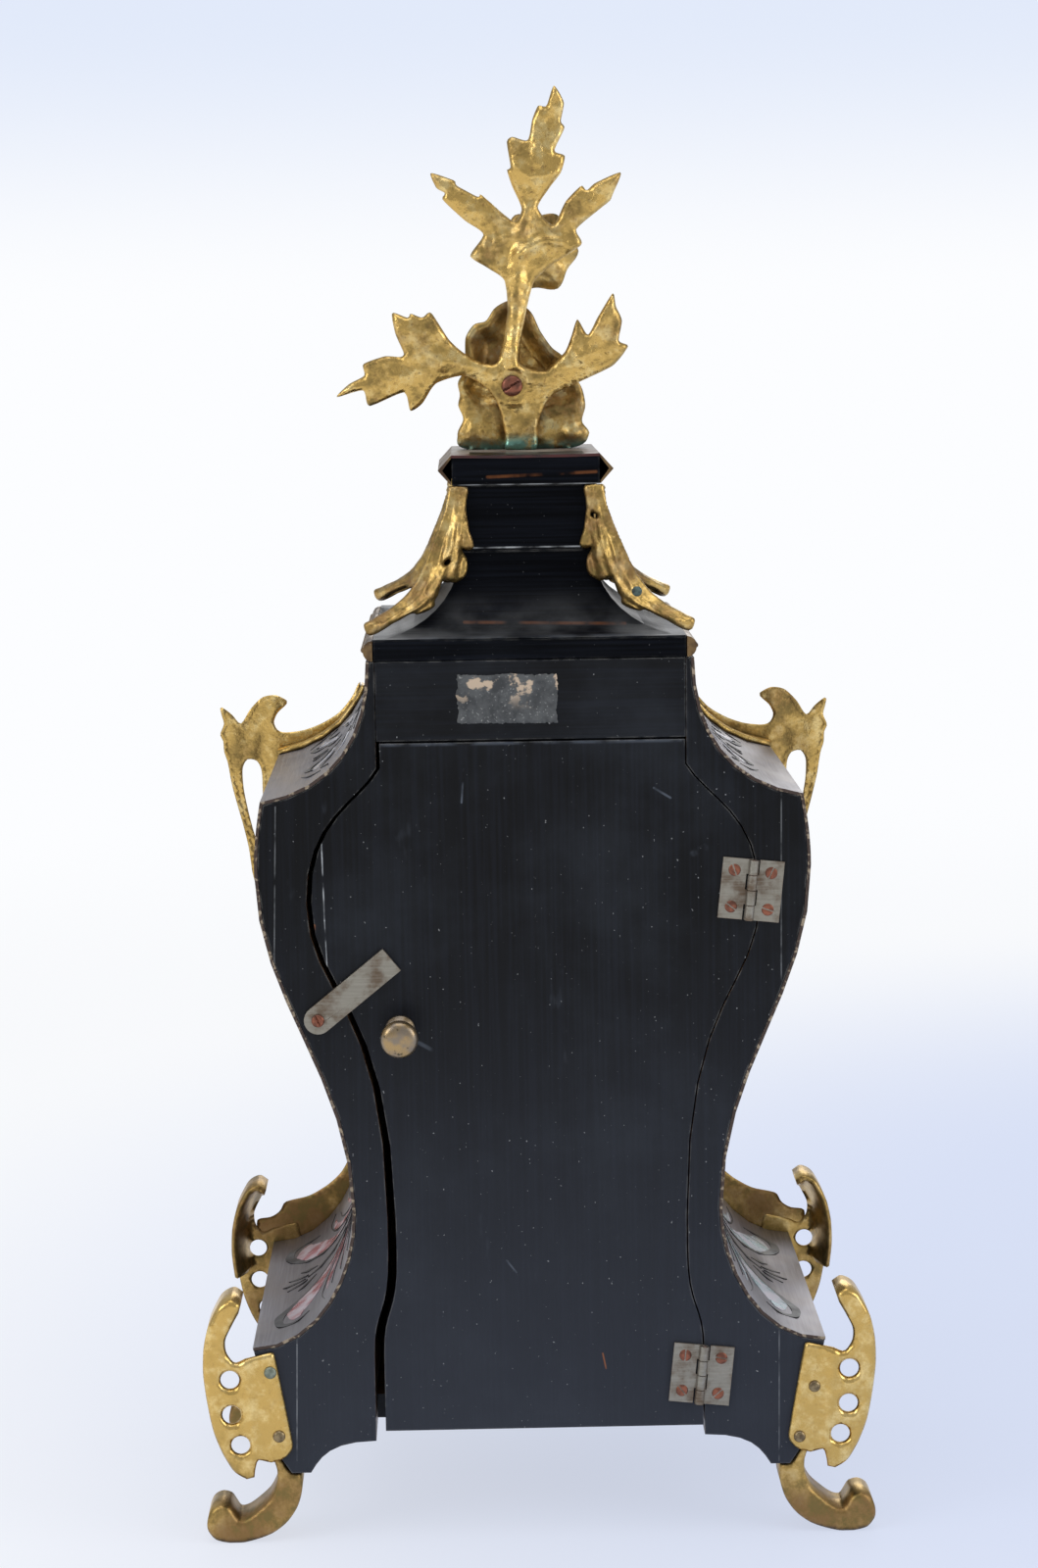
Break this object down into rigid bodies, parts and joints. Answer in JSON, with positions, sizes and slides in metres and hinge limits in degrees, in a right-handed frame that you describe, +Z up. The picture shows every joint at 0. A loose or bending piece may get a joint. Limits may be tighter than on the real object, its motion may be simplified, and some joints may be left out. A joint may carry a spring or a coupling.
{
  "type": "bracket clock",
  "caption": "Waisted bracket clock with ebonised case, metal marquetry sides, gilt bronze mounts and finial, and a shaped back door with turn button over a pendulum movement.",
  "frame": {"origin": "on the floor under the middle of the clock, midway between the knob's end and the glass's top", "axes": "+Z up, +Y out of the back door, +X to the left as seen from behind, so the dial looks along -Y"},
  "size_m": [0.2138, 0.1536, 0.4595],
  "materials": {
    "ebonised_wood": "aged satin black over walnut, with chips",
    "marquetry_sheet": "dull tin sheet with dark engraved scrollwork",
    "gilt_bronze": "cast and gilt, mottled with brown patina",
    "brass": "aged polished",
    "nickel_steel": "worn, dull",
    "copper_screw": "dark, slotted",
    "steel": "smooth",
    "blued_steel": "polished blue",
    "dial_metal": "matt cream with black numbers",
    "glass": "clear, domed"
  },
  "bodies": {
    "case": {"side_left": "ebonised_wood", "side_right": "ebonised_wood", "front_panel": "ebonised_wood", "top_rail": "ebonised_wood", "roof_board": "ebonised_wood", "floor_board": "ebonised_wood", "caddy_plate": "ebonised_wood", "caddy_cove": "ebonised_wood", "caddy_neck": "ebonised_wood", "caddy_cap": "ebonised_wood", "marquetry_left": "marquetry_sheet", "marquetry_right": "marquetry_sheet", "corner_leaf_rear_left": "gilt_bronze", "scroll_bracket_rear_left": "gilt_bronze", "foot_rear_left": "gilt_bronze", "corner_leaf_rear_right": "gilt_bronze", "scroll_bracket_rear_right": "gilt_bronze", "foot_rear_right": "gilt_bronze", "corner_leaf_front_left": "gilt_bronze", "scroll_bracket_front_left": "gilt_bronze", "foot_front_left": "gilt_bronze", "corner_leaf_front_right": "gilt_bronze", "scroll_bracket_front_right": "gilt_bronze", "foot_front_right": "gilt_bronze", "shoulder_mount_left": "gilt_bronze", "shoulder_mount_right": "gilt_bronze", "finial_spray": "gilt_bronze", "finial_base": "gilt_bronze", "finial_flower": "gilt_bronze", "front_apron": "gilt_bronze", "cap_strip": "brass", "plate_strip": "brass", "bezel_hinge": "brass", "movement_front_plate": "brass", "movement_back_plate": "brass", "pendulum_cock": "brass", "bell": "brass", "hinge_leaf_case_upper": "nickel_steel", "hinge_pin_upper": "nickel_steel", "hinge_leaf_case_lower": "nickel_steel", "hinge_pin_lower": "nickel_steel", "turn_button_screw": "copper_screw", "finial_screw": "copper_screw", "dial": "dial_metal"},
    "rear_door": {"rear_door": "ebonised_wood", "door_knob": "brass", "hinge_leaf_door_upper": "nickel_steel", "hinge_leaf_door_lower": "nickel_steel"},
    "turn_button": {"turn_button": "nickel_steel"},
    "glazed_bezel": {"bezel": "brass", "dial_glass": "glass"},
    "hour_hand": {"hour_hand": "blued_steel"},
    "minute_hand": {"minute_hand": "blued_steel"},
    "going_barrel": {"going_barrel": "brass"},
    "strike_barrel": {"strike_barrel": "brass"},
    "centre_wheel": {"centre_wheel": "brass"},
    "escape_wheel": {"escape_wheel": "brass"},
    "anchor": {"anchor": "steel"},
    "pendulum": {"pendulum": "brass"},
    "hammer": {"hammer": "steel"}
  },
  "joints": [
    {"name": "rear_door_swing", "type": "hinge", "parent": "case", "child": "rear_door", "pos_m": [-0.06773, 0.062, 0.2096], "axis": [-0.1049, 0, 0.9945], "range_deg": [0, 110]},
    {"name": "turn_button_turn", "type": "hinge", "parent": "case", "child": "turn_button", "pos_m": [0.06768, 0.0612, 0.1707], "axis": [0, 1, 0], "range_deg": [-24, 230]},
    {"name": "bezel_swing", "type": "hinge", "parent": "case", "child": "glazed_bezel", "pos_m": [-0.0614, -0.06365, 0.205], "axis": [0, 0, -1], "range_deg": [0, 110]},
    {"name": "minute_hand_turn", "type": "hinge", "parent": "case", "child": "minute_hand", "pos_m": [0, -0.054, 0.205], "axis": [0, 1, 0], "continuous": true},
    {"name": "hour_hand_turn", "type": "hinge", "parent": "case", "child": "hour_hand", "pos_m": [0, -0.052, 0.205], "axis": [0, 1, 0], "continuous": true},
    {"name": "strike_barrel_turn", "type": "hinge", "parent": "case", "child": "strike_barrel", "pos_m": [0.01371, -0.02, 0.19129], "axis": [0, 1, 0], "continuous": true},
    {"name": "escape_wheel_turn", "type": "hinge", "parent": "case", "child": "escape_wheel", "pos_m": [0, -0.02, 0.223], "axis": [0, 1, 0], "continuous": true},
    {"name": "centre_wheel_turn", "type": "hinge", "parent": "case", "child": "centre_wheel", "pos_m": [0, -0.02, 0.205], "axis": [0, 1, 0], "continuous": true},
    {"name": "going_barrel_turn", "type": "hinge", "parent": "case", "child": "going_barrel", "pos_m": [-0.01371, -0.02, 0.19129], "axis": [0, 1, 0], "continuous": true},
    {"name": "pendulum_swing", "type": "hinge", "parent": "case", "child": "pendulum", "pos_m": [0, 0.0064, 0.238], "axis": [0, 1, 0], "range_deg": [-4, 4]},
    {"name": "anchor_swing", "type": "hinge", "parent": "case", "child": "anchor", "pos_m": [0, 0, 0.238], "axis": [0, 1, 0], "range_deg": [-4, 4]},
    {"name": "hammer_swing", "type": "hinge", "parent": "case", "child": "hammer", "pos_m": [0.024, 0, 0.178], "axis": [0, 1, 0], "range_deg": [0, 25]}
  ],
  "couplings": [
    {"joint": "hour_hand_turn", "follows": "minute_hand_turn", "ratio": 0.083333},
    {"joint": "centre_wheel_turn", "follows": "escape_wheel_turn", "ratio": -0.18182},
    {"joint": "going_barrel_turn", "follows": "escape_wheel_turn", "ratio": 0.030303},
    {"joint": "anchor_swing", "follows": "pendulum_swing", "ratio": 1}
  ]
}
